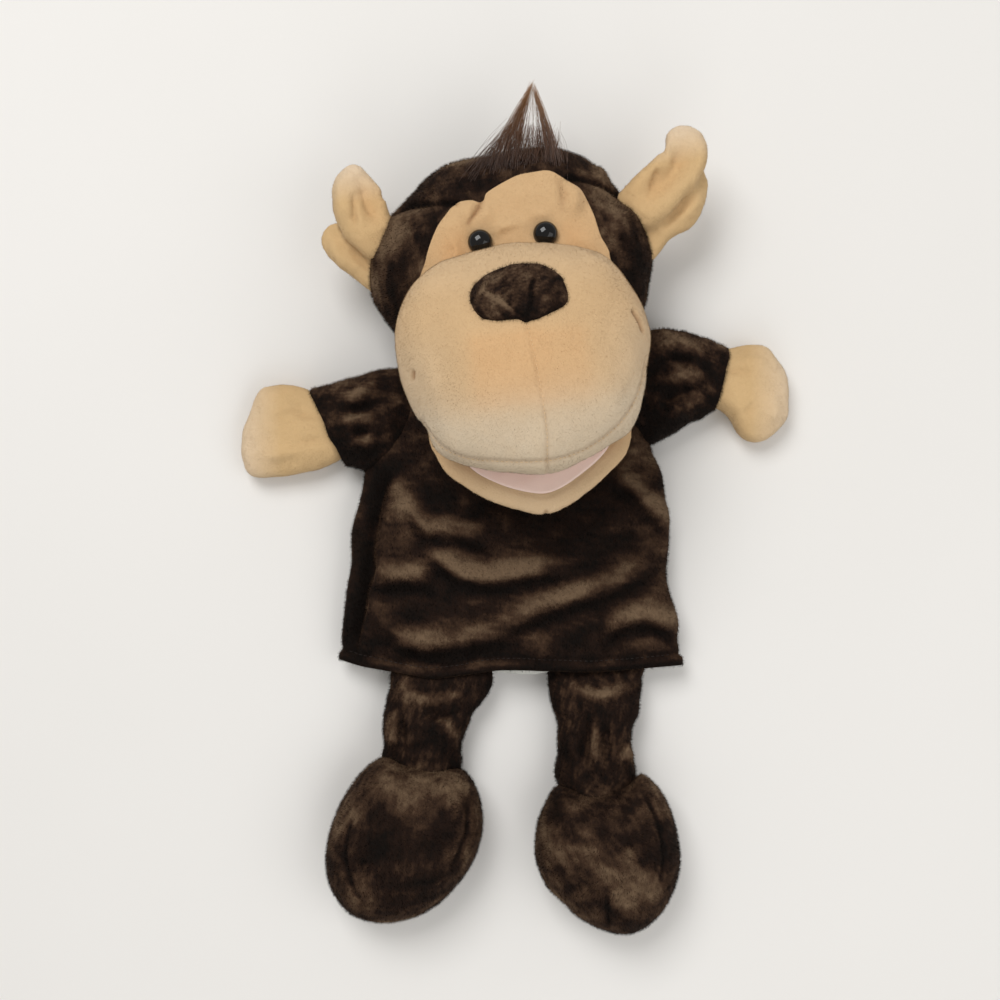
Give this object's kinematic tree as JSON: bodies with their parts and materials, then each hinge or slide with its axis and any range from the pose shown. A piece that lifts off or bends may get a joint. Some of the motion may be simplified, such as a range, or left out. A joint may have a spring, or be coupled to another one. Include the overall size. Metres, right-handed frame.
{
  "type": "hand puppet",
  "caption": "Plush monkey hand puppet with a hollow glove body, a mouth worked by the fingers, dangling arms and legs, and ears that stick out.",
  "frame": {"origin": "middle of the puppet's outline, on the surface that it lies on, on its back", "axes": "+Z out of the chest, +Y from the feet towards the head, +X towards the puppet's own left arm"},
  "size_m": [0.2834, 0.4248, 0.1205],
  "materials": {
    "brown_plush": "matte",
    "beige_plush": "matte",
    "pink_lining": "matte",
    "white_lining": "matte",
    "filling": "matte",
    "hair": "satin",
    "mouth_board": "matte",
    "eye": "gloss",
    "eye_washer": "satin"
  },
  "bodies": {
    "torso": {"body_front": "brown_plush", "body_back": "brown_plush", "lining_front": "white_lining", "lining_back": "white_lining"},
    "neck": {"neck_lining": "white_lining"},
    "head": {"head_back": "brown_plush", "head_crown": "brown_plush", "head_side_left": "brown_plush", "head_side_right": "brown_plush", "face_panel": "beige_plush", "head_filling": "filling", "eye_left": "eye", "eye_washer_left": "eye_washer", "eye_right": "eye", "eye_washer_right": "eye_washer", "muzzle_left": "beige_plush", "muzzle_right": "beige_plush", "finger_pocket": "white_lining", "muzzle_filling": "filling", "mouth_roof_board": "mouth_board", "mouth_roof_lining": "pink_lining", "nose_patch": "brown_plush", "nose_filling": "filling", "hair_tuft": "hair"},
    "jaw": {"jaw_cover": "beige_plush", "jaw_lining": "pink_lining", "jaw_board": "mouth_board", "thumb_pocket": "white_lining", "jaw_filling": "filling"},
    "ear_right": {"ear_right_front": "beige_plush", "ear_right_back": "beige_plush"},
    "arm_right": {"sleeve_right": "brown_plush", "arm_filling_right": "filling"},
    "hand_right": {"hand_right_back": "beige_plush", "hand_right_palm": "beige_plush", "hand_filling_right": "filling"},
    "leg_right": {"leg_right": "brown_plush", "leg_filling_right": "filling"},
    "foot_right": {"foot_right_upper": "brown_plush", "foot_right_sole": "brown_plush", "foot_filling_right": "filling"},
    "ear_left": {"ear_left_front": "beige_plush", "ear_left_back": "beige_plush"},
    "arm_left": {"sleeve_left": "brown_plush", "arm_filling_left": "filling"},
    "hand_left": {"hand_left_back": "beige_plush", "hand_left_palm": "beige_plush", "hand_filling_left": "filling"},
    "leg_left": {"leg_left": "brown_plush", "leg_filling_left": "filling"},
    "foot_left": {"foot_left_upper": "brown_plush", "foot_left_sole": "brown_plush", "foot_filling_left": "filling"}
  },
  "joints": [
    {"name": "head_lean", "type": "hinge", "parent": "torso", "child": "neck", "pos_m": [0.004, 0.074, 0.015], "axis": [0, 0, 1], "range_deg": [-8, 8]},
    {"name": "head_nod", "type": "hinge", "parent": "neck", "child": "head", "pos_m": [0.00351, 0.07797, 0.015], "axis": [0.9925, 0.1219, 0], "range_deg": [-20, 0]},
    {"name": "mouth_open", "type": "hinge", "parent": "head", "child": "jaw", "pos_m": [0.004, 0.074, 0.055], "axis": [0.9925, 0.1219, 0], "range_deg": [-6, 22], "stiffness_Nm_per_rad": 0.15, "springref_deg": -1.15},
    {"name": "ear_fold_right", "type": "hinge", "parent": "head", "child": "ear_right", "pos_m": [-0.07525, 0.13681, 0.038], "axis": [-0.1219, 0.9925, 0], "range_deg": [-20, 20], "stiffness_Nm_per_rad": 0.04},
    {"name": "ear_fold_left", "type": "hinge", "parent": "head", "child": "ear_left", "pos_m": [0.07002, 0.14367, 0.038], "axis": [0.848, -0.5299, 0], "range_deg": [-20, 20], "stiffness_Nm_per_rad": 0.04},
    {"name": "shoulder_right", "type": "hinge", "parent": "torso", "child": "arm_right", "pos_m": [-0.074, 0.046, 0.0245], "axis": [0.0698, 0.9976, 0], "range_deg": [0, 75]},
    {"name": "wrist_right", "type": "hinge", "parent": "arm_right", "child": "hand_right", "pos_m": [-0.09979, 0.04279, 0.021], "axis": [-0.0872, 0.9962, 0], "range_deg": [0, 45]},
    {"name": "shoulder_left", "type": "hinge", "parent": "torso", "child": "arm_left", "pos_m": [0.0675, 0.063, 0.0245], "axis": [0.0698, -0.9976, 0], "range_deg": [0, 75]},
    {"name": "wrist_left", "type": "hinge", "parent": "arm_left", "child": "hand_left", "pos_m": [0.10591, 0.06569, 0.021], "axis": [-0.342, -0.9397, 0], "range_deg": [0, 45]},
    {"name": "hip_right", "type": "hinge", "parent": "torso", "child": "leg_right", "pos_m": [-0.038, -0.0815, 0.0225], "axis": [-1, 0, 0], "range_deg": [0, 100]},
    {"name": "hip_left", "type": "hinge", "parent": "torso", "child": "leg_left", "pos_m": [0.041, -0.0815, 0.0225], "axis": [-1, 0, 0], "range_deg": [0, 100]},
    {"name": "ankle_right", "type": "hinge", "parent": "leg_right", "child": "foot_right", "pos_m": [-0.047, -0.13, 0.0215], "axis": [-0.9781, 0.2079, 0], "range_deg": [0, 45]},
    {"name": "ankle_left", "type": "hinge", "parent": "leg_left", "child": "foot_left", "pos_m": [0.041, -0.139, 0.0215], "axis": [-0.9781, -0.2079, 0], "range_deg": [0, 45]}
  ]
}
